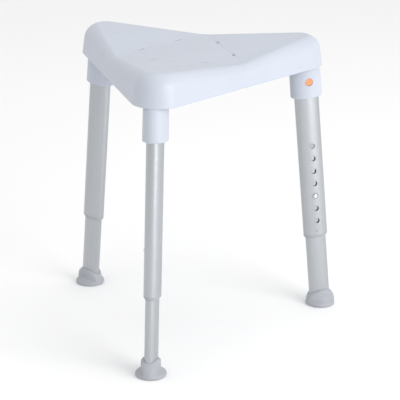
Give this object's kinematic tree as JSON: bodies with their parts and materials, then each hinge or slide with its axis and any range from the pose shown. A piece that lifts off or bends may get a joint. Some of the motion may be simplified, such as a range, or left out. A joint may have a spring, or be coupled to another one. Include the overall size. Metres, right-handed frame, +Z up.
{
  "type": "shower stool",
  "caption": "Shower stool: a dished triangular moulded seat on splayed oval telescopic legs, with snap-button height holes, click-out legs and rubber feet.",
  "frame": {"origin": "on the floor, under the middle of the outer box at rest; the legs' common axis stands 67.2 mm behind it, at +Y", "axes": "+Z up; the front leg points to -Y, the right and left legs to +X and -X and back"},
  "size_m": [0.5218, 0.4594, 0.5387],
  "materials": {
    "seat_plastic": "bluish white moulded plastic with a fine grain",
    "tube_aluminium": "satin anodised, drawn lengthwise",
    "leg_plastic": "matte light grey",
    "foot_rubber": "matte light grey elastomer",
    "orange_plastic": "semi-gloss orange",
    "spring_steel": "bright stainless"
  },
  "bodies": {
    "seat": {"seat": "seat_plastic"},
    "leg_front": {"leg_tube_front": "tube_aluminium", "top_plug_front": "leg_plastic", "end_bush_front": "leg_plastic", "release_spring_front": "spring_steel"},
    "release_front": {"release_button_front": "orange_plastic"},
    "inner_front": {"inner_leg_front": "leg_plastic", "guide_cap_front": "leg_plastic", "snap_spring_front": "spring_steel", "foot_front": "foot_rubber"},
    "snap_front": {"snap_button_front": "spring_steel"},
    "leg_right": {"leg_tube_right": "tube_aluminium", "top_plug_right": "leg_plastic", "end_bush_right": "leg_plastic", "release_spring_right": "spring_steel"},
    "release_right": {"release_button_right": "orange_plastic"},
    "inner_right": {"inner_leg_right": "leg_plastic", "guide_cap_right": "leg_plastic", "snap_spring_right": "spring_steel", "foot_right": "foot_rubber"},
    "snap_right": {"snap_button_right": "spring_steel"},
    "leg_left": {"leg_tube_left": "tube_aluminium", "top_plug_left": "leg_plastic", "end_bush_left": "leg_plastic", "release_spring_left": "spring_steel"},
    "release_left": {"release_button_left": "orange_plastic"},
    "inner_left": {"inner_leg_left": "leg_plastic", "guide_cap_left": "leg_plastic", "snap_spring_left": "spring_steel", "foot_left": "foot_rubber"},
    "snap_left": {"snap_button_left": "spring_steel"}
  },
  "joints": [
    {"name": "leg_removal_front", "type": "slide", "parent": "seat", "child": "leg_front", "axis": [0, -0.0906, -0.9959], "range_m": [0, 0.25]},
    {"name": "height_front", "type": "slide", "parent": "leg_front", "child": "inner_front", "axis": [0, 0.0906, 0.9959], "range_m": [-0.05, 0.1]},
    {"name": "release_press_front", "type": "slide", "parent": "leg_front", "child": "release_front", "axis": [1, 0, 0], "range_m": [0, 0.0062], "stiffness_N_per_m": 400, "springref_m": -0.006, "deforming": ["release_spring_front"]},
    {"name": "snap_press_front", "type": "slide", "parent": "inner_front", "child": "snap_front", "axis": [1, 0, 0], "range_m": [0, 0.0045], "stiffness_N_per_m": 900, "springref_m": -0.006, "deforming": ["snap_spring_front"]},
    {"name": "leg_removal_right", "type": "slide", "parent": "seat", "child": "leg_right", "axis": [0.0785, 0.0453, -0.9959], "range_m": [0, 0.25]},
    {"name": "height_right", "type": "slide", "parent": "leg_right", "child": "inner_right", "axis": [-0.0785, -0.0453, 0.9959], "range_m": [-0.05, 0.1]},
    {"name": "release_press_right", "type": "slide", "parent": "leg_right", "child": "release_right", "axis": [-0.5, 0.866, 0], "range_m": [0, 0.0062], "stiffness_N_per_m": 400, "springref_m": -0.006, "deforming": ["release_spring_right"]},
    {"name": "snap_press_right", "type": "slide", "parent": "inner_right", "child": "snap_right", "axis": [-0.5, 0.866, 0], "range_m": [0, 0.0045], "stiffness_N_per_m": 900, "springref_m": -0.006, "deforming": ["snap_spring_right"]},
    {"name": "leg_removal_left", "type": "slide", "parent": "seat", "child": "leg_left", "axis": [-0.0785, 0.0453, -0.9959], "range_m": [0, 0.25]},
    {"name": "height_left", "type": "slide", "parent": "leg_left", "child": "inner_left", "axis": [0.0785, -0.0453, 0.9959], "range_m": [-0.05, 0.1]},
    {"name": "release_press_left", "type": "slide", "parent": "leg_left", "child": "release_left", "axis": [-0.5, -0.866, 0], "range_m": [0, 0.0062], "stiffness_N_per_m": 400, "springref_m": -0.006, "deforming": ["release_spring_left"]},
    {"name": "snap_press_left", "type": "slide", "parent": "inner_left", "child": "snap_left", "axis": [-0.5, -0.866, 0], "range_m": [0, 0.0045], "stiffness_N_per_m": 900, "springref_m": -0.006, "deforming": ["snap_spring_left"]}
  ]
}
